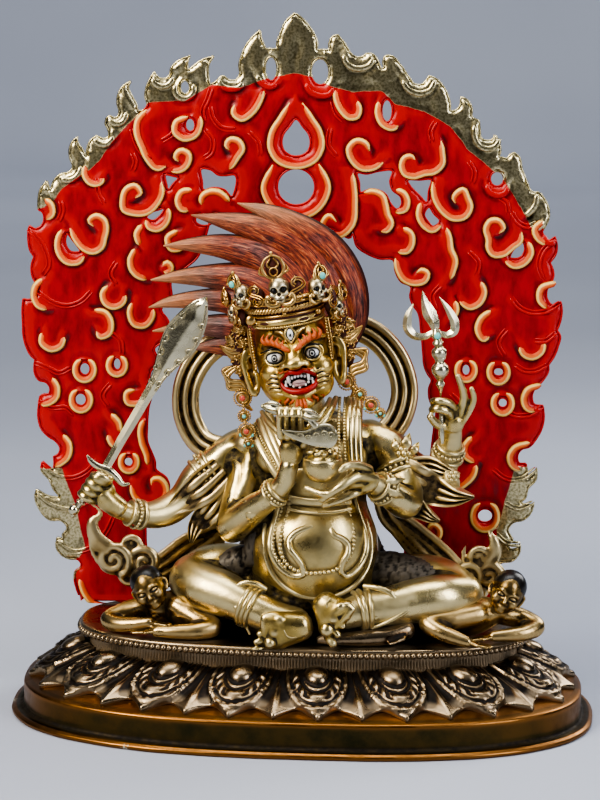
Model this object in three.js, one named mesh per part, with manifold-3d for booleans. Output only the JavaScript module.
// A four-armed seated guardian figure on an oval lotus plinth, in front of a pierced flame aureole.
// Millimetres, +Z up, the viewer looks along +Y. The origin is the centre of the plinth's underside.

import * as THREE from 'three';
import { mergeVertices } from 'three/addons/utils/BufferGeometryUtils.js';
import Module from 'manifold-3d';

const wasm = await Module();
wasm.setup();

// Clearance between two neighbouring castings
const GAP = 0.3;

// Plinth: an oval drum with a lip, a ring of lotus petals, a ribbed neck and a flat platform
const PLINTH_WIDTH = 320;
const PLINTH_DRAWN_WIDTH = 320;
const PLINTH_DEPTH = 184;
const OVAL_POWER = 2.5;
const LIP_HEIGHT = 4;
const LIP_REACH = 7;
const DRUM_HEIGHT = 14;
const PETAL_RISE = 19;
const NECK_HEIGHT = 8;
const RIM_HEIGHT = 4.7;
const PETAL_PAIRS = 15;
const PETAL_FOOT_INSET = 12;
const PETAL_TIP_REACH = 4;
const PETAL_THICKNESS = 2.2;
const PETAL_SWELL = 2.4;
const BOSS_RADIUS = 6;
const BOSS_HEIGHT = 4.5;
const NECK_INSET = 44;
const RIM_REACH = 6.5;

// Aureole: a flat casting with flame tongues round its edge, an open arch and pierced eyes
const AUREOLE_HEIGHT = 329;
const AUREOLE_DRAWN_HEIGHT = 329;
const AUREOLE_THICKNESS = 4;
const AUREOLE_BEHIND_FIGURE = 26;
const CURL_WIDTH = 4;
const CURL_HEIGHT = 1.4;
const CURL_STEPS = 4;
const RING_STEPS = 5;

// Figure: every place of the pose below is drawn for a figure of this height, seat to hair top
const FIGURE_HEIGHT = 229;
const FIGURE_DRAWN_HEIGHT = 229;

// Things held, worn or draped
const BLADE_THICKNESS = 2;
const HILT_RADIUS = 1.8;
const SHAFT_RADIUS = 1.7;
const PRONG_RADIUS = 1.5;
const CUP_RADIUS = 10.5;
const CUP_HEIGHT = 13;
const CUP_WALL = 1.8;
const SCARF_HALF_WIDTH = 7.2;
const SCARF_THICKNESS = 2.6;
const STRAND_RADIUS = 2.3;

// Places of the plinth and the aureole
const DRUM_TOP = LIP_HEIGHT + DRUM_HEIGHT;
const NECK_FOOT = DRUM_TOP + PETAL_RISE;
const NECK_TOP = NECK_FOOT + NECK_HEIGHT;
const PLATFORM_TOP = NECK_TOP + RIM_HEIGHT;
const SEAT = PLATFORM_TOP + GAP;
const FIGURE_SCALE = FIGURE_HEIGHT / FIGURE_DRAWN_HEIGHT;
const AUREOLE_SCALE = AUREOLE_HEIGHT / AUREOLE_DRAWN_HEIGHT;
const PLINTH_SCALE = PLINTH_WIDTH / PLINTH_DRAWN_WIDTH;
const AUREOLE_FRONT = AUREOLE_BEHIND_FIGURE * FIGURE_SCALE;
const RIM_INSET = NECK_INSET - RIM_REACH;

const TURN = Math.PI * 2;
const FACING = new THREE.Vector3(0, 1, 0);
const UPWARD = new THREE.Vector3(0, 0, 1);

// Helpers: closed solids and how they are joined and cut

function solid(geometry) {
  const bare = geometry.clone();
  bare.deleteAttribute('normal');
  bare.deleteAttribute('uv');
  const merged = mergeVertices(bare, 1e-4);
  return new wasm.Manifold(new wasm.Mesh({
    numProp: 3,
    vertProperties: new Float32Array(merged.attributes.position.array),
    triVerts: new Uint32Array(merged.index.array),
  }));
}

function join(solids) {
  return solids.reduce((whole, next) => whole.add(next));
}

function cut(body, tools) {
  return tools.reduce((rest, tool) => rest.subtract(tool), body);
}

// The largest connected body of a solid, so a cut leaves no loose crumb behind
function mainBody(body) {
  const bodies = body.decompose();
  return bodies.reduce((best, next) => (next.volume() > best.volume() ? next : best));
}

function piece(name, body, colour, roughness, metalness) {
  const { vertProperties, triVerts } = body.getMesh();
  const geometry = new THREE.BufferGeometry();
  geometry.setAttribute('position', new THREE.BufferAttribute(new Float32Array(vertProperties), 3));
  geometry.setIndex(new THREE.BufferAttribute(new Uint32Array(triVerts), 1));
  geometry.computeVertexNormals();
  const material = new THREE.MeshStandardMaterial({ color: colour, roughness, metalness });
  const mesh = new THREE.Mesh(geometry, material);
  mesh.name = name;
  return mesh;
}

// A closed skin over rows of points: all rows are as long, and each end is closed to its own pole
function skin(rows, firstPole, lastPole) {
  const count = rows[0].length;
  const points = [...rows.flat(), firstPole, lastPole];
  const first = rows.length * count;
  const last = first + 1;
  const faces = [];
  rows.forEach((row, r) => {
    for (let k = 0; k < count; k += 1) {
      const a = r * count + k;
      const b = r * count + ((k + 1) % count);
      if (r === 0) faces.push(first, b, a);
      if (r < rows.length - 1) faces.push(a, b, a + count, b, b + count, a + count);
      else faces.push(last, a, b);
    }
  });
  const geometry = new THREE.BufferGeometry();
  const places = points.flatMap((point) => [point.x, point.y, point.z]);
  geometry.setAttribute('position', new THREE.Float32BufferAttribute(places, 3));
  geometry.setIndex(enclosedVolume(points, faces) < 0 ? faces.reverse() : faces);
  return solid(geometry);
}

function enclosedVolume(points, faces) {
  let volume = 0;
  for (let f = 0; f < faces.length; f += 3) {
    const [a, b, c] = [points[faces[f]], points[faces[f + 1]], points[faces[f + 2]]];
    volume += a.dot(b.clone().cross(c)) / 6;
  }
  return volume;
}

// An oval section carried along a smooth path. A station is [x, y, z, half width, depth share].
// The depth share, 1 where it isn't given, squashes the section along the direction called up.
function limb(stations, { sides = 7, steps = 2, up = FACING, grow = 0, section = null } = {}) {
  const path = new THREE.CatmullRomCurve3(stations.map(([x, y, z]) => new THREE.Vector3(x, y, z)));
  const girth = new THREE.CatmullRomCurve3(
    stations.map(([, , , radius, share = 1]) => new THREE.Vector3(radius, share, 0)));
  const outline = section ?? Array.from({ length: sides }, (_, k) => {
    return [Math.cos((k + 0.5) / sides * TURN), Math.sin((k + 0.5) / sides * TURN)];
  });
  const rowCount = (stations.length - 1) * steps;
  const rows = [];
  const poles = [];
  for (let r = 0; r <= rowCount; r += 1) {
    const along = path.getTangent(r / rowCount);
    const centre = path.getPoint(r / rowCount).multiplyScalar(FIGURE_SCALE);
    const { x: radius, y: share } = girth.getPoint(r / rowCount);
    const side = along.clone().cross(up).normalize();
    const other = side.clone().cross(along).normalize();
    const half = Math.max(radius, 0.4) * FIGURE_SCALE;
    rows.push(outline.map(([w, d]) => centre.clone()
      .addScaledVector(side, w * (half + grow))
      .addScaledVector(other, d * (half * share + grow))));
    if (r === 0) poles.push(centre.clone().addScaledVector(along, -half * share * 0.5 - grow));
    if (r === rowCount) poles.push(centre.clone().addScaledVector(along, half * share * 0.5 + grow));
  }
  return skin(rows, poles[0], poles[1]);
}

// An arm or a leg. One with a sharp bend is two limbs that meet at that station, its elbow or knee.
function jointed({ bend = 0, stations }, options) {
  const parts = bend ? [stations.slice(0, bend + 1), stations.slice(bend)] : [stations];
  return join(parts.map((part) => limb(part, options)));
}

// An egg of given half sizes, leaning sideways by an angle in degrees
function egg([x, y, z], [rx, ry, rz], { lean = 0, around = 9, rings = 6, grow = 0 } = {}) {
  const ball = new THREE.SphereGeometry(1, around, rings);
  ball.rotateX(Math.PI / 2);
  ball.scale(rx * FIGURE_SCALE + grow, ry * FIGURE_SCALE + grow, rz * FIGURE_SCALE + grow);
  ball.rotateY(THREE.MathUtils.degToRad(lean));
  ball.translate(x * FIGURE_SCALE, y * FIGURE_SCALE, z * FIGURE_SCALE);
  return solid(ball);
}

// Plinth

const halfWidth = PLINTH_WIDTH / 2;
const halfDepth = PLINTH_DEPTH / 2;

function onOval(angle, inset, z) {
  const corner = (share) => Math.sign(share) * Math.abs(share) ** (2 / OVAL_POWER);
  return new THREE.Vector3(
    (halfWidth - inset) * corner(Math.cos(angle)), (halfDepth - inset) * corner(Math.sin(angle)), z);
}

// Angles that step evenly along the oval, starting at the middle of the front
function evenAngles(count) {
  const fine = 1440;
  const lengths = [0];
  const angleAt = (k) => (k / fine) * TURN - Math.PI / 2;
  for (let k = 1; k <= fine; k += 1) {
    const before = onOval(angleAt(k - 1), NECK_INSET / 2, 0);
    lengths.push(lengths[k - 1] + before.distanceTo(onOval(angleAt(k), NECK_INSET / 2, 0)));
  }
  return Array.from({ length: count }, (_, i) => {
    return angleAt(lengths.findIndex((length) => length >= (lengths[fine] * i) / count));
  });
}

// Each petal pair has four columns: main petal, valley, small petal between, valley
const COLUMNS_PER_PAIR = 4;
const PETAL_REACH = [1, 0, 0.7, 0];
const PETAL_CUSHION = [1, 0.1, 0.35, 0.1];

function plinth() {
  const columns = evenAngles(PETAL_PAIRS * COLUMNS_PER_PAIR);
  const ring = (shape) => columns.map((angle, k) => {
    const [inset, z] = shape(k % COLUMNS_PER_PAIR);
    return onOval(angle, inset, z);
  });
  const plain = (inset, z) => ring(() => [inset, z]);
  const footInset = (k) => PETAL_FOOT_INSET + PETAL_TIP_REACH * (1 - PETAL_REACH[k]);
  const shoulder = (inset) => DRUM_TOP + (inset - LIP_REACH) * 0.2;
  // A place on the petals between their foot, at share 0, and the neck, at share 1
  const petals = (share) => ring((k) => {
    const foot = footInset(k);
    const swell = PETAL_SWELL * PETAL_CUSHION[k] * Math.sin(Math.PI * share);
    const low = shoulder(foot) + PETAL_THICKNESS;
    return [foot + (NECK_INSET - foot) * share - swell * 0.4, low + (NECK_FOOT - low) * share + swell];
  });
  const rows = [
    plain(0, 0),
    plain(0, LIP_HEIGHT * 0.6),
    plain(LIP_REACH, LIP_HEIGHT),
    plain(LIP_REACH, DRUM_TOP),
    ring((k) => [footInset(k), shoulder(footInset(k))]),
    petals(0),
    petals(0.5),
    petals(1),
    plain(NECK_INSET, NECK_TOP),
    plain(RIM_INSET, NECK_TOP + RIM_HEIGHT * 0.2),
    plain(RIM_INSET, PLATFORM_TOP),
  ];
  const body = skin(rows, new THREE.Vector3(0, 0, 0), new THREE.Vector3(0, 0, PLATFORM_TOP));
  const bossInset = PETAL_FOOT_INSET + (NECK_INSET - PETAL_FOOT_INSET) * 0.55;
  const bosses = Array.from({ length: PETAL_PAIRS }, (_, pair) => {
    const place = onOval(columns[pair * COLUMNS_PER_PAIR], bossInset, 0);
    const boss = new THREE.SphereGeometry(1, 6, 3);
    boss.rotateX(Math.PI / 2);
    boss.scale(BOSS_RADIUS, BOSS_RADIUS, BOSS_HEIGHT);
    boss.translate(place.x, place.y, (DRUM_TOP + NECK_FOOT) / 2 + PETAL_SWELL + 1.6);
    return solid(boss);
  });
  return join([body, ...bosses]);
}

// Aureole. A tongue of flame is [valley x, valley z, tip x, tip z, belly], in mm above the platform.
// Both sides run from the foot up to the top flame.

const FLAMES_LEFT = [
  [-126, -6, -130, 16, 1], [-126, 21, -140, 36, 5], [-134, 43, -151, 64, 6], [-138, 60, -148, 80, 2],
  [-138, 87, -149, 116, 6], [-143, 122, -151, 137, 5], [-151, 137, -158, 171, 4],
  [-149, 177, -151, 194, 3], [-151, 194, -154, 211, 2], [-146, 217, -144, 236, 4],
  [-142, 231, -130, 243, 4], [-130, 243, -128, 261, 3], [-123, 250, -114, 262, 3],
  [-111, 262, -110, 272, 2], [-105, 272, -98, 292, 4], [-93, 275, -86, 297, 2], [-80, 293, -66, 305, 3],
  [-67, 297, -53, 306, 3], [-55, 290, -48, 295, 1], [-41, 293, -28, 320, 5], [-19, 309, -10, 329, 3],
];
const FLAMES_RIGHT = [
  [106, -6, 105, 22, 1], [106, 27, 118, 40, 4], [111, 48, 125, 64, 4], [117, 64, 126, 83, 2],
  [115, 90, 128, 118, 6], [123, 121, 131, 139, 3], [131, 140, 136, 159, 3], [135, 160, 136, 176, 2],
  [129, 178, 132, 192, 2], [130, 197, 132, 211, 3], [125, 214, 124, 235, 4], [119, 236, 109, 256, 3],
  [101, 254, 99, 266, 2], [92, 264, 87, 275, 2], [86, 275, 80, 286, 2], [75, 278, 63, 297, 4],
  [55, 292, 39, 308, 4], [38, 300, 29, 308, 2], [24, 306, 13, 318, 2], [2, 310, -10, 329, 4],
];

// The open arch behind the figure, from its left foot over the top to its right foot
const ARCH = [
  [-86, -6], [-88, 25], [-90, 50], [-79, 60], [-83, 76], [-88, 94], [-86, 124], [-82, 146], [-77, 176],
  [-62, 196], [-48, 210], [-30, 214], [0, 214], [22, 209], [34, 199], [46, 195], [50, 184], [57, 170],
  [63, 150], [67, 126], [69, 104], [65, 78], [55, 52], [54, 24], [57, -6],
];

// Pierced eyes: round ones as [x, z, half width, half height], the others as their corners
const ROUND_EYES = [
  [-69, 289, 2.7, 3.8], [-22, 299, 3.4, 6.6], [4, 298, 5, 7.2], [40, 278, 3, 6.5], [-8, 236, 10.3, 10],
  [-58, 217, 4.9, 3.2], [-66, 268, 2.7, 3.8], [100, 242, 3.8, 4.2], [-124, 133, 3, 3.5],
  [-106, 136, 2.3, 3.4], [-126, 115, 3.2, 3.5], [-100, 81, 2.7, 2.7], [86, 137, 2.4, 3.2],
  [103, 136, 3, 2.4], [106, 119, 2.7, 2.7], [98, 56, 4.3, 3.8],
];
const TORN_EYES = [
  [[-8, 273], [-14, 265], [-16, 259], [-13, 253], [-8, 251], [-3, 253], [0, 259], [-2, 265]],
  [[-60, 245], [-42, 242], [-43, 230], [-53, 234], [-59, 233]],
  [[25, 244], [44, 245], [44, 235], [49, 227], [45, 224], [40, 232], [28, 235]],
  [[-79, 241], [-72, 239], [-78, 233]], [[52, 240], [65, 241], [63, 228], [53, 237]],
  [[64, 226], [61, 222], [66, 215], [70, 219]], [[-90, 217], [-80, 223], [-86, 220]],
  [[-133, 207], [-134, 203], [-131, 198], [-126, 198], [-130, 204]],
  [[115, 208], [116, 204], [114, 200], [108, 199], [110, 204]],
];

// Raised curls: three places of an arc, [x, z] at its start, its middle and its end
const CURLS = [
  [[-41, 281], [-33, 272], [-27, 288]], [[14, 288], [20, 274], [28, 281]],
  [[-44, 256], [-36, 259], [-43, 246]], [[36, 256], [24, 256], [38, 246]],
  [[37, 281], [41, 270], [49, 268]], [[15, 214], [22, 205], [30, 218]], [[60, 252], [56, 243], [72, 252]],
  [[78, 230], [86, 220], [72, 222]], [[-89, 277], [-93, 261], [-80, 246]],
  [[-70, 250], [-66, 243], [-76, 243]], [[-68, 273], [-74, 265], [-62, 270]],
  [[-95, 228], [-102, 221], [-86, 218]], [[-122, 245], [-117, 237], [-111, 241]],
  [[-68, 232], [-74, 224], [-67, 218]], [[-117, 212], [-112, 204], [-124, 198]],
  [[-91, 213], [-93, 202], [-88, 191]], [[-72, 210], [-76, 202], [-69, 200]],
  [[-110, 181], [-107, 171], [-101, 176]], [[-117, 165], [-109, 159], [-115, 153]],
  [[-96, 171], [-93, 161], [-86, 167]], [[-146, 152], [-141, 144], [-135, 150]],
  [[-95, 122], [-98, 115], [-88, 120]], [[-91, 106], [-92, 95], [-87, 84]],
  [[104, 213], [101, 205], [112, 206]], [[59, 191], [65, 186], [54, 184]],
  [[76, 212], [80, 200], [76, 189]], [[94, 183], [95, 174], [85, 176]],
  [[100, 168], [93, 160], [98, 153]], [[118, 148], [124, 142], [130, 150]],
  [[90, 98], [86, 90], [92, 84]], [[60, 230], [53, 227], [53, 236]], [[36, 233], [45, 226], [40, 216]],
];

// The raised ring round the drop-shaped eye at the top, open above
const DROP_RING = [
  [-2, 278], [4, 267], [7, 258], [2, 247], [-8, 244], [-18, 247], [-22, 258], [-19, 267], [-13, 278],
];

// Places in ROUND_EYES of the eyes that have a raised ring round them
const RINGED_EYES = [4, 8, 9, 10, 12, 13, 14, 15];

// One edge of a flame tongue from a valley to its tip, swelling out by the belly
function tongue([vx, vz, tx, tz, belly], outward) {
  const from = new THREE.Vector2(vx, vz);
  const to = new THREE.Vector2(tx, tz);
  const across = new THREE.Vector2(-(tz - vz), tx - vx).normalize().multiplyScalar(2 * belly * outward);
  const bend = from.clone().add(to).multiplyScalar(0.5).add(across);
  return new THREE.QuadraticBezierCurve(from, bend, to).getPoints(2);
}

function aureole() {
  const spread = (point) => new THREE.Vector2(point.x, point.y).multiplyScalar(AUREOLE_SCALE);
  const left = FLAMES_LEFT.flatMap((flame) => tongue(flame, 1)).reverse();
  const right = FLAMES_RIGHT.flatMap((flame) => tongue(flame, -1));
  const arch = new THREE.CatmullRomCurve3(ARCH.map(([x, z]) => new THREE.Vector3(x, z, 0)));
  const edge = [...right, ...left.slice(1), ...arch.getPoints(ARCH.length + 3)].map(spread);
  const shape = new THREE.Shape(edge.filter((point, k) => k === 0 || point.distanceTo(edge[k - 1]) > GAP));
  ROUND_EYES.forEach(([x, z, rx, rz]) => {
    const around = rx > 6 ? 12 : 6;
    shape.holes.push(new THREE.Path(Array.from({ length: around }, (_, k) => spread(new THREE.Vector2(
      x + rx * Math.cos((k / around) * TURN), z + rz * Math.sin((k / around) * TURN))))));
  });
  TORN_EYES.forEach((corners) => {
    shape.holes.push(new THREE.Path(corners.map(([x, z]) => spread(new THREE.Vector2(x, z)))));
  });
  const plate = new THREE.ExtrudeGeometry(shape, { depth: AUREOLE_THICKNESS, bevelEnabled: false });
  plate.rotateX(Math.PI / 2);
  plate.translate(0, AUREOLE_FRONT + AUREOLE_THICKNESS, 0);
  const rings = RINGED_EYES.map((k) => {
    const [x, z, rx, rz] = ROUND_EYES[k];
    const reach = CURL_WIDTH / 2 + 1.2;
    return Array.from({ length: RING_STEPS + 1 }, (_, i) => {
      const angle = Math.PI * (0.62 + (i / RING_STEPS) * 1.76);
      return new THREE.Vector2(x + (rx + reach) * Math.cos(angle), z + (rz + reach) * Math.sin(angle));
    });
  });
  const drop = new THREE.SplineCurve(DROP_RING.map(([x, z]) => new THREE.Vector2(x, z))).getPoints(9);
  const curls = [...CURLS.map(arcThrough), ...rings, drop].map((points) => curlRidge(points.map(spread)));
  return join([solid(plate), ...curls]);
}

// A bent stroke, half an oval, from the first place over the second to the third
function arcThrough([[ax, az], [bx, bz], [cx, cz]]) {
  const [mx, mz] = [(ax + cx) / 2, (az + cz) / 2];
  return Array.from({ length: CURL_STEPS + 1 }, (_, k) => {
    const angle = (Math.PI * k) / CURL_STEPS;
    const near = Math.cos(angle);
    const out = Math.sin(angle);
    return new THREE.Vector2(
      mx + (ax - mx) * near + (bx - mx) * out, mz + (az - mz) * near + (bz - mz) * out);
  });
}

// A ridge of triangular section that stands out of the aureole's front and thins to both ends
function curlRidge(points) {
  const last = points.length - 1;
  const rows = points.map((point, k) => {
    const before = points[Math.max(k - 1, 0)];
    const after = points[Math.min(k + 1, last)];
    const along = after.clone().sub(before).normalize();
    const fade = 0.35 + 0.65 * Math.sin((Math.PI * (k + 0.6)) / (last + 1.2));
    const half = (CURL_WIDTH / 2) * fade;
    const proud = AUREOLE_FRONT - CURL_HEIGHT * fade;
    return [
      new THREE.Vector3(point.x - along.y * half, AUREOLE_FRONT, point.y + along.x * half),
      new THREE.Vector3(point.x, proud, point.y),
      new THREE.Vector3(point.x + along.y * half, AUREOLE_FRONT, point.y - along.x * half),
    ];
  });
  const middle = (row) => row[0].clone().add(row[2]).multiplyScalar(0.5);
  return skin(rows, middle(rows[0]), middle(rows[last]));
}

// Head: a frame that leans to the viewer's left, for the face, the crown and the ears

const HEAD = new THREE.Vector3(-5, -16, 150);
const HEAD_LEAN = -9.5;
const HEAD_HALF = [20.5, 20, 27];

function onHead(x, y, z) {
  const lean = THREE.MathUtils.degToRad(HEAD_LEAN);
  const place = new THREE.Vector3(x, y, z).applyAxisAngle(FACING, lean).add(HEAD);
  return [place.x, place.y, place.z];
}

function head(grow) {
  const lump = (place, size) => {
    return egg(onHead(...place), size, { lean: HEAD_LEAN, around: 5, rings: 3, grow });
  };
  const mirrored = [-1, 1].flatMap((s) => [
    lump([s * 8.5, -18.5, 2], [5, 3, 3.2]),
    lump([s * 12, -14, -9], [7, 6, 6.5]),
    lump([s * 20, 2, -2], [3, 5, 10]),
  ]);
  const brow = limb([[...onHead(-16, -13.5, 10), 1.4], [...onHead(-8, -20, 10.5), 2.4],
    [...onHead(0, -20, 7), 1.8], [...onHead(8, -20, 10.5), 2.4], [...onHead(16, -13.5, 10), 1.4]],
  { sides: 4, steps: 1, grow });
  const lip = (z, y, drop) => limb([[...onHead(-10, -15, z - drop), 1.2], [...onHead(0, y, z), 2.2],
    [...onHead(10, -15, z - drop), 1.2]], { sides: 4, steps: 1, grow });
  return join([
    egg(onHead(0, 0, 0), HEAD_HALF, { lean: HEAD_LEAN, around: 8, rings: 6, grow }),
    ...mirrored,
    brow,
    lip(-10.5, -20.5, 2.5),
    lip(-18.5, -19, -4),
    lump([0, -20, -2], [5.6, 5.4, 5]),
    lump([0, -14, -24], [7, 6, 4.5]),
  ]);
}

// Body, limbs and dress of the figure, in mm above the platform

const SWORD_HAND = [-104, -33, 72];
const CHOPPER_HAND = [-4, -49, 106];
const CUP_PLACE = [13, -54, 91];
const TRIDENT_HAND = [80, -16, 118];

// Trunk from the seat over the round belly and the chest to the neck
const TRUNK = [
  [6, -2, -2, 44, 0.58], [6, -6, 16, 42, 0.66], [6, -12, 34, 35, 0.9], [6, -14, 52, 34, 0.94],
  [5, -9, 72, 29, 0.84], [5, -4, 90, 33, 0.62], [4, -2, 104, 27, 0.6], [1, -6, 115, 14, 0.9],
  [-3, -11, 128, 12.5, 1],
];

// Arms and legs with the bangles worn on them, each a thick station between two thin ones.
// The bend is the place in the list of a sharply bent elbow or knee.
const ARMS = [
  { stations: [[-22, -2, 96, 12], [-40, 0, 94, 10], [-57, -4, 81, 8.8], [-59, -5, 78, 11], [-62, -6, 73, 9],
    [-67, -8, 66, 8.4], [-80, -18, 62, 7.6], [-87, -23, 63, 6], [-89, -25, 63.5, 8], [-92, -27, 64, 5.8],
    [-101, -32, 69, 5.6]] },
  { bend: 3, stations: [[-18, -6, 98, 11], [-27, -7, 90, 10], [-35, -16, 70, 9.4], [-37, -26, 57, 8.6],
    [-24, -38, 72, 7.8], [-14, -45, 81, 6.4], [-11, -46, 84, 8.4], [-8, -47, 87, 6], [-5, -48, 97, 5.6]] },
  { stations: [[34, -2, 102, 12], [46, -6, 98, 10.5], [51, -10, 89, 9.2], [53, -12, 85, 11.5],
    [55, -16, 80, 9.2], [56, -24, 74, 8.4], [47, -36, 82, 7.6], [42, -41, 86, 6.2], [39, -43, 88, 8.4],
    [36, -45, 89, 6], [28, -48, 92, 5.4]] },
  { stations: [[36, 4, 100, 12], [46, 4, 95, 10], [58, 3, 86, 9], [70, 0, 82, 8.2], [77, -7, 96, 7.4],
    [79, -10, 101, 6.2], [79, -11, 104, 8], [80, -12, 107, 6], [80, -15, 114, 5.4]] },
];

const LEGS = [
  { bend: 3, stations: [[2, -4, 20, 17], [-28, -8, 26, 17], [-52, -14, 30, 15], [-59, -20, 27, 13],
    [-44, -32, 24, 13], [-27, -40, 19, 10], [-23, -42, 18, 13], [-19, -44, 16, 10], [0, -46, 12, 8]] },
  { bend: 3, stations: [[12, -4, 20, 17], [48, -8, 24, 16.5], [78, -13, 26, 14], [86, -20, 22, 12.5],
    [64, -32, 22, 12], [44, -40, 20, 10], [40, -41, 20, 12.5], [36, -42, 20, 10], [26, -45, 21, 8]] },
];

// A foot from heel to ball, and its five toes side by side as one ridged band
const FEET = [
  {
    foot: [[8, -46, 12, 8], [-8, -49, 8, 7.5, 0.8], [-17, -51, 6, 7, 0.6]],
    toes: [[-15, -52, 6, 7], [-23, -54, 5, 5.6]],
  },
  {
    foot: [[27, -46, 21, 8], [21, -50, 14, 7.5, 0.8], [18, -52, 8, 7, 0.6]],
    toes: [[19, -53, 10, 7], [17, -54, 3, 5.6]],
  },
];
const TOE_RIDGES = [
  [-1, 0.6], [-1, -0.5], [-0.8, -1], [-0.6, -0.7], [-0.4, -1], [-0.2, -0.7], [0, -1], [0.2, -0.7],
  [0.4, -1], [0.6, -0.7], [0.8, -1], [1, -0.5], [1, 0.6],
];

// Four fingers side by side, as one ridged band that bends round a grip from the knuckles to the tips
const FINGER_RIDGES = [
  [-1, 0.9], [-1, -0.6], [-0.75, -1.1], [-0.5, -0.6], [-0.25, -1.1], [0, -0.6], [0.25, -1.1], [0.5, -0.6],
  [0.75, -1.1], [1, -0.6], [1, 0.9],
];

function fingers(places, up, grow) {
  const stations = places.map((place) => [...place, 0.34]);
  return limb(stations, { section: FINGER_RIDGES, steps: 1, up, grow });
}

function hands(grow) {
  const towardGrip = new THREE.Vector3(0, 1, 0);
  return join([
    egg(SWORD_HAND, [6.5, 6, 8], { around: 6, rings: 4, lean: 30, grow }),
    fingers([[-98, -36, 76, 6.5], [-104, -42, 73, 6.5], [-110, -37, 71, 5.5]], towardGrip, grow),
    egg(CHOPPER_HAND, [6, 5.5, 9], { around: 6, rings: 4, grow }),
    fingers([[1, -50, 108, 7], [-4, -56, 108, 7], [-10, -52, 107, 6]], towardGrip, grow),
    egg([24, -50, 91], [10, 6, 4.5], { around: 6, rings: 4, grow }),
    fingers([[20, -53, 88, 6], [8, -56, 86.5, 6], [-4, -57, 86, 4.5]], UPWARD, grow),
    egg(TRIDENT_HAND, [6.5, 5, 7.5], { around: 6, rings: 4, grow }),
    limb([[84, -17, 120, 2.6], [85, -18, 132, 2.4], [82, -20, 141, 1.7]], { sides: 4, steps: 1, grow }),
    limb([[79, -17, 121, 2.6], [77, -20, 132, 2.4], [73, -23, 132, 2]], { sides: 4, steps: 1, grow }),
    limb([[76, -18, 119, 3], [71, -23, 121, 2.6], [68, -23, 117, 2.2]], { sides: 4, steps: 1, grow }),
  ]);
}

function feet(grow) {
  return FEET.flatMap(({ foot, toes }) => [
    limb(foot, { sides: 6, steps: 1, grow }),
    limb(toes.map((station) => [...station, 0.4]), { section: TOE_RIDGES, steps: 1, grow }),
  ]);
}

// A beaded strand over the shoulders, down both sides of the belly and round under it
const STRAND = [
  [-22, -24, 106], [-20, -35, 78], [-22, -42, 50], [-8, -47, 27], [8, -48, 22], [24, -46, 29],
  [34, -40, 52], [29, -34, 78], [24, -25, 108],
];

function strand(grow) {
  return limb(STRAND.map((place) => [...place, STRAND_RADIUS]), { sides: 3, steps: 1, grow });
}

// Cloth over the shoulders and the sleeve drapes that hang from both outer arms
function dress(grow) {
  const cloth = (stations) => limb(stations, { sides: 4, steps: 1, grow });
  return join([
    cloth([[-32, -8, 104, 6], [-12, -24, 114, 6], [14, -24, 114, 6], [38, -8, 106, 6]]),
    cloth([[20, -20, 114, 7, 0.6], [30, -30, 84, 5.5, 0.6]]),
    cloth([[-22, -18, 112, 9, 0.7], [-23, -30, 84, 7, 0.6]]),
    cloth([[44, -8, 88, 9, 0.6], [60, -13, 81, 9, 0.5], [90, -16, 76, 1.5, 0.4]]),
    cloth([[-46, -6, 84, 8, 0.6], [-58, -9, 69, 8, 0.5], [-72, -12, 60, 3, 0.5]]),
  ]);
}

function figure(grow = 0) {
  const parts = [
    limb(TRUNK, { sides: 8, steps: 1, grow }),
    egg([24, 8, 22], [38, 16, 20], { around: 7, rings: 4, grow }),
    ...ARMS.map((arm) => jointed(arm, { sides: 5, steps: 1, up: UPWARD, grow })),
    ...LEGS.map((leg) => jointed(leg, { sides: 6, steps: 1, up: UPWARD, grow })),
    ...feet(grow),
    hands(grow),
    dress(grow),
    strand(grow),
    head(grow),
  ];
  return join(parts);
}

// Painted hair that sweeps up behind the crown and streams to the viewer's left in six locks

const LOCKS = [
  [[19, 5, 148, 2], [24, 5, 170, 9], [12, 5, 200, 12], [-12, 5, 218, 8], [-38, 6, 229, 1]],
  [[14, 4, 168, 13], [2, 5, 198, 13], [-28, 6, 214, 8], [-63, 7, 222, 1]],
  [[6, 3, 170, 13], [-14, 4, 194, 12], [-44, 6, 204, 7], [-78, 7, 205, 1]],
  [[0, 3, 168, 13], [-26, 4, 185, 11], [-56, 7, 188, 6], [-85, 8, 186, 1]],
  [[-8, 2, 164, 12], [-34, 4, 174, 9], [-62, 7, 175, 5], [-86, 8, 171, 1]],
  [[-12, 2, 158, 9], [-46, 5, 162, 7], [-84, 8, 158, 1]],
];

function hair(grow = 0) {
  const flat = LOCKS.map((lock) => lock.map(([x, y, z, radius]) => [x, y, z, radius, 0.6]));
  return join(flat.map((lock) => limb(lock, { sides: 5, steps: 1, grow })));
}

// Crown: a band round the brow with five skulls, each under a leaf with a stone, and scrolls beside the ears

const CROWN_TURNS = [-64, -32, 0, 32, 64];
const CROWN_LEAF = [15, 18, 21, 18, 15];

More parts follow.
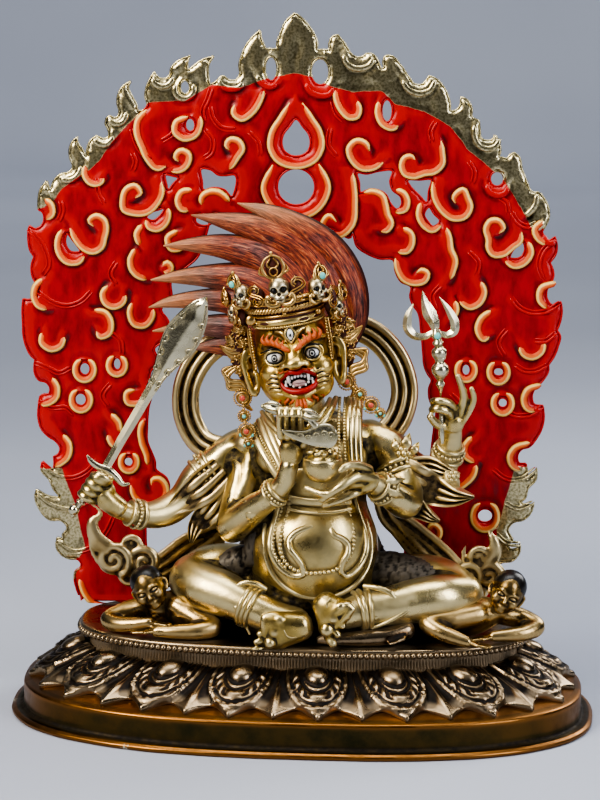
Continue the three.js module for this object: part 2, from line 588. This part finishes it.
function crown(grow = 0) {
  const place = (turn, radius, z) => {
    const angle = THREE.MathUtils.degToRad(turn);
    return onHead(radius * Math.sin(angle), -radius * Math.cos(angle), z);
  };
  const band = limb([-95, -57, -19, 19, 57, 95].map((turn) => [...place(turn, 23, 22), 4.8, 0.8]),
    { sides: 4, steps: 1, up: UPWARD, grow });
  const skulls = CROWN_TURNS.flatMap((turn, k) => [
    egg(place(turn, 24, 31), [6.4, 6, 8], { lean: HEAD_LEAN, around: 5, rings: 3, grow }),
    limb([[...place(turn, 22, 35), 5.5, 0.6], [...place(turn, 21, 35 + CROWN_LEAF[k]), 0.8, 0.6]],
      { sides: 4, steps: 1, grow }),
  ]);
  const fans = [-1, 1].map((s) => {
    return limb([[...onHead(s * 21, -6, 26), 6, 0.7], [...onHead(s * 27, -3, 12), 8, 0.6],
      [...onHead(s * 29, -2, -2), 7, 0.6],
      [...onHead(s * 25, -2, -16), 4, 0.6]], { sides: 5, steps: 1, grow });
  });
  return join([band, ...skulls, ...fans]);
}

// Ear pendants: a ring under the lobe with a drop of stones

const EARRING_LEFT = [
  [-33, -16, 131, 3.4], [-32, -20, 126, 4.8], [-30, -22, 117, 3.6], [-29, -24, 109, 5],
  [-27, -25, 102, 2],
];
const EARRING_RIGHT = [
  [19, -18, 141, 3], [24, -20, 137, 4.2], [30, -22, 131, 3.4], [37, -24, 126, 4.8], [44, -25, 120, 2],
];

function earring(stations, grow = 0) {
  return limb(stations.map((station) => [...station, 0.7]), { sides: 5, steps: 1, grow });
}

// Sword: pommel, grip, cross guard and a blade that widens to a notched end

function sword(grow = 0) {
  const edge = BLADE_THICKNESS / 2;
  const blade = [[-106, 88, 1.6], [-103, 93, 2], [-97, 104, 2.6], [-80, 134, 3.2], [-74, 144, 4],
    [-66, 156, 9.5], [-61, 166, 10.5], [-55, 177, 6.5], [-50, 185, 1]]
    .map(([x, z, half]) => [x, -34, z, half, Math.min(edge / half, 1)]);
  return join([
    limb([[-121, -34, 68, HILT_RADIUS + 1.6], [-118, -34, 71, HILT_RADIUS], [-104, -34, 91, HILT_RADIUS]],
      { sides: 5, steps: 1, grow }),
    limb([[-113, -34, 95, 1.4], [-103, -34, 90, 2.8], [-92, -34, 82, 1.4]], { sides: 4, steps: 1, grow }),
    limb(blade, { sides: 4, steps: 1, grow, section: [[1, 0], [0, 1], [-1, 0], [0, -1]] }),
  ]);
}

// Trident staff: a shaft with two small heads on it under three flame prongs

function trident(grow = 0) {
  const prong = (stations) => limb(stations, { sides: 4, steps: 1, grow });
  const shaft = [[74.5, 106, 1], [74, 108, SHAFT_RADIUS], [73, 139, SHAFT_RADIUS], [73, 142, 4.4],
    [72.6, 146, 5.2],
    [72.4, 150, 2.6], [72, 153, 4.2], [71.6, 157, 2], [71, 161, 2.2], [70.5, 165, 3.4], [70, 168, 1.4]];
  return join([
    limb(shaft.map(([x, z, radius]) => [x, -20, z, radius]), { sides: 6, steps: 1, grow }),
    prong([[70, -20, 165, 2.2, 0.8], [66, -20, 175, 3.8, 0.5], [62, -20, 188, 0.5, 1]]),
    prong([[69, -20, 165, PRONG_RADIUS], [60, -20, 163, 2, 0.8], [54, -20, 171, 2.2, 0.8],
      [58, -20, 181, 0.5]]),
    prong([[71, -20, 165, PRONG_RADIUS], [79, -20, 166, 2, 0.8], [80, -20, 174, 2.2, 0.8],
      [72, -20, 185, 0.5]]),
  ]);
}

// Curved flaying knife: a leaf blade under a thunderbolt handle

function chopper(grow = 0) {
  return join([
    limb([[-12, -57, 119, 0.8, 1], [-4, -58, 119, 3.4, 0.36], [8, -58, 119, 5.6, 0.2],
      [20, -57, 119, 5.2, 0.2],
      [27, -56, 116, 0.8, 1]], { sides: 5, steps: 1, grow }),
    limb([[-18, -57, 131, 2.6], [-12, -57, 130, 4], [-5, -57, 129, 1.9], [2, -57, 128, 1.9],
      [6, -57, 127, 4],
      [11, -57, 126, 1.6]], { sides: 5, steps: 1, grow }),
    limb([[-2, -57.5, 128, 1.9], [3, -58, 121, 1.9]], { sides: 5, steps: 1, grow }),
  ]);
}

// Skull cup: an open bowl on the palm, with a lip that curls at one side

function cupProfile(grow) {
  const foot = CUP_RADIUS * 0.45;
  const points = [[0, -grow], [foot + grow, -grow], [CUP_RADIUS * 0.92 + grow, CUP_HEIGHT * 0.35],
    [CUP_RADIUS + grow, CUP_HEIGHT * 0.75], [CUP_RADIUS * 0.95 + grow, CUP_HEIGHT + grow]];
  const inside = [[CUP_RADIUS * 0.95 - CUP_WALL, CUP_HEIGHT], [CUP_RADIUS - CUP_WALL, CUP_HEIGHT * 0.7],
    [CUP_RADIUS * 0.8 - CUP_WALL, CUP_HEIGHT * 0.34], [0, CUP_WALL + 1]];
  const shut = [[0, CUP_HEIGHT + grow]];
  return [...points, ...(grow > 0 ? shut : inside)].map(([r, z]) => new THREE.Vector2(r, z));
}

function skullCup(grow = 0) {
  const bowl = new THREE.LatheGeometry(cupProfile(grow), 11);
  bowl.rotateX(Math.PI / 2);
  bowl.translate(...CUP_PLACE.map((value) => value * FIGURE_SCALE));
  return solid(bowl);
}

// Scarf: a pleated band that loops from shoulder to shoulder behind the head, and two loose ends

const PLEATS = [[-1, 0.8], [-1, -0.8], [-0.5, -0.3], [0, -1], [0.5, -0.3], [1, -0.8], [1, 0.8]];

function band(places, grow) {
  const share = SCARF_THICKNESS / 2 / SCARF_HALF_WIDTH;
  const stations = places.map(([x, y, z, width = 1]) => [x, y, z, SCARF_HALF_WIDTH * width, share / width]);
  return limb(stations, { section: PLEATS, steps: 1, grow });
}

function scarfLoop(grow = 0) {
  return band([[-20, -4, 100], [-42, 4, 94], [-57, 9, 97], [-65, 13, 109], [-66, 15, 126],
    [-58, 17, 143], [-40, 19, 156],
    [-8, 19.5, 164], [18, 19.5, 164], [36, 18, 157], [48, 16, 144], [53, 14, 126], [48, 8, 110],
    [36, -2, 102]], grow);
}

// A cloud-like knot of curled cloth: three overlapping coils round a centre
function cloud([x, y, z], reach, grow) {
  return join([0, 1, 2].map((k) => {
    const turn = (k / 3) * TURN + 0.5;
    const [cx, cz] = [x + Math.cos(turn) * reach * 0.8, z + Math.sin(turn) * reach * 0.7];
    return egg([cx, y, cz], [reach, 4.4, reach * 0.8], { around: 6, rings: 3, grow });
  }));
}

function scarfEndLeft(grow = 0) {
  return join([
    band([[-44, 12, 46, 0.7], [-60, 8, 44], [-74, 0, 32], [-88, -8, 26, 0.8]], grow),
    cloud([-98, -11, 36], 12, grow),
    limb([[-106, -12, 44, 4, 0.6], [-114, -12, 50, 3.5, 0.6], [-113, -12, 58, 2.4, 0.6],
      [-118, -12, 68, 0.6, 0.6]],
      { sides: 5, steps: 1, grow }),
  ]);
}

function scarfEndRight(grow = 0) {
  return join([
    band([[40, 12, 74, 0.8], [46, 12, 60], [60, 10, 48], [80, 4, 32], [92, -4, 22, 0.8]], grow),
    cloud([96, -7, 33], 10, grow),
    limb([[100, -8, 40, 4, 0.6], [103, -8, 48, 4, 0.6], [100, -8, 54, 2.6, 0.6], [108, -8, 58, 0.6, 0.6]],
      { sides: 5, steps: 1, grow }),
  ]);
}

// Two prostrate attendants: each lies with folded arms under a knee, its trunk running in under the legs.
// The third station of an arm is its elbow. Both keep their share of the plinth's width.

function attendant({ headPlace, lean, trunk, arms, feature }, grow = 0) {
  const spread = ([x, ...rest]) => [x * PLINTH_SCALE, ...rest];
  const [hx, hy, hz] = spread(headPlace);
  const [fx, fy, fz] = feature;
  return join([
    egg([hx, hy, hz], [8.6, 9, 11], { around: 7, rings: 5, lean, grow }),
    egg([hx + fx, hy + fy, hz + fz], [2, 2.8, 3], { around: 4, rings: 2, grow }),
    limb(trunk.map(spread), { sides: 5, steps: 1, grow }),
    ...arms.map((stations) => jointed(
      { bend: 2, stations: stations.map(spread) }, { sides: 4, steps: 1, grow, up: UPWARD })),
  ]);
}

const ATTENDANT_LEFT = {
  headPlace: [-82, -30, 23],
  lean: 12,
  feature: [1, -9, -1],
  trunk: [[-78, -26, 12, 7], [-70, -24, 11, 9], [-56, -20, 10, 9.5], [-36, -8, 9, 9], [-14, 4, 8, 8]],
  arms: [
    [[-66, -30, 13, 6.5], [-52, -36, 9, 6], [-44, -40, 6, 5.5], [-60, -44, 5, 5], [-76, -44, 4.5, 4],
    [-86, -42, 5, 3]],
    [[-86, -24, 11, 5.5], [-98, -26, 8, 5.5], [-103, -30, 6, 5], [-92, -38, 5, 4.5], [-78, -41, 9, 3.5],
    [-70, -42, 9, 2.5]],
  ],
};

const ATTENDANT_RIGHT = {
  headPlace: [112, -26, 26],
  lean: -14,
  feature: [-2, -9, -1],
  trunk: [[106, -24, 16, 6], [98, -25, 14, 8.5], [82, -22, 8, 9.5], [60, -12, 6, 9], [36, 2, 6, 8]],
  arms: [
    [[96, -30, 14, 6.5], [82, -36, 13, 6], [69, -42, 12, 5.5], [80, -46, 8, 5], [92, -48, 4.5, 4],
    [99, -49, 3.5, 3]],
    [[108, -24, 13, 5.5], [122, -22, 10, 5.5], [128, -27, 8, 5], [118, -34, 6, 4.5], [104, -38, 5.5, 3.5]],
    [[16, -48, 3.5, 3], [36, -47, 5, 4.5], [50, -44, 6, 5], [58, -40, 8, 5.5]],
  ],
};

// Assembly: the castings stand on the platform, in front of the aureole, each clear of its neighbours

const aboveSeat = (body) => {
  const slab = new THREE.BoxGeometry(PLINTH_WIDTH * 2, PLINTH_WIDTH * 2, PLINTH_WIDTH);
  slab.translate(0, 0, -PLINTH_WIDTH / 2);
  return cut(body, [solid(slab)]);
};

const beforeAureole = (body) => {
  const slab = new THREE.BoxGeometry(PLINTH_WIDTH * 2, PLINTH_WIDTH, PLINTH_WIDTH * 4);
  slab.translate(0, AUREOLE_FRONT - CURL_HEIGHT - GAP + PLINTH_WIDTH / 2, 0);
  return cut(body, [solid(slab)]);
};

const GOLD = '#b8934a';
const PALE_GOLD = '#cbb98a';
const LACQUER = '#a51414';
const HAIR_PAINT = '#8a4a3a';
const DARK_COPPER = '#5d4430';
const DARK_BRONZE = '#7a5a34';

// From the first to the last: each casting is cut clear of all those above it in this list
const CASTINGS = [
  ['sword', sword, PALE_GOLD],
  ['trident', trident, PALE_GOLD],
  ['chopper', chopper, PALE_GOLD],
  ['skull_cup', skullCup, GOLD],
  ['figure', figure, GOLD],
  ['crown', crown, GOLD],
  ['flame_hair', hair, HAIR_PAINT],
  ['earring_left', (grow) => earring(EARRING_LEFT, grow), GOLD],
  ['earring_right', (grow) => earring(EARRING_RIGHT, grow), GOLD],
  ['scarf', scarfLoop, GOLD],
  ['scarf_end_left', scarfEndLeft, GOLD],
  ['scarf_end_right', scarfEndRight, GOLD],
  ['attendant_left', (grow) => attendant(ATTENDANT_LEFT, grow), DARK_BRONZE],
  ['attendant_right', (grow) => attendant(ATTENDANT_RIGHT, grow), DARK_BRONZE],
];

const onPlatform = new THREE.Group();
onPlatform.position.z = SEAT;
onPlatform.add(piece('aureole', aboveSeat(aureole()), LACQUER, 0.45, 0.1));

const neighbours = [];
CASTINGS.forEach(([name, make, colour]) => {
  const body = mainBody(beforeAureole(aboveSeat(cut(make(0), neighbours))));
  neighbours.push(join([make(0), make(GAP)]));
  onPlatform.add(piece(name, body, colour, 0.35, 0.9));
});

const statue = new THREE.Group();
statue.add(piece('lotus_base', plinth(), DARK_COPPER, 0.5, 0.8), onPlatform);

export default statue;
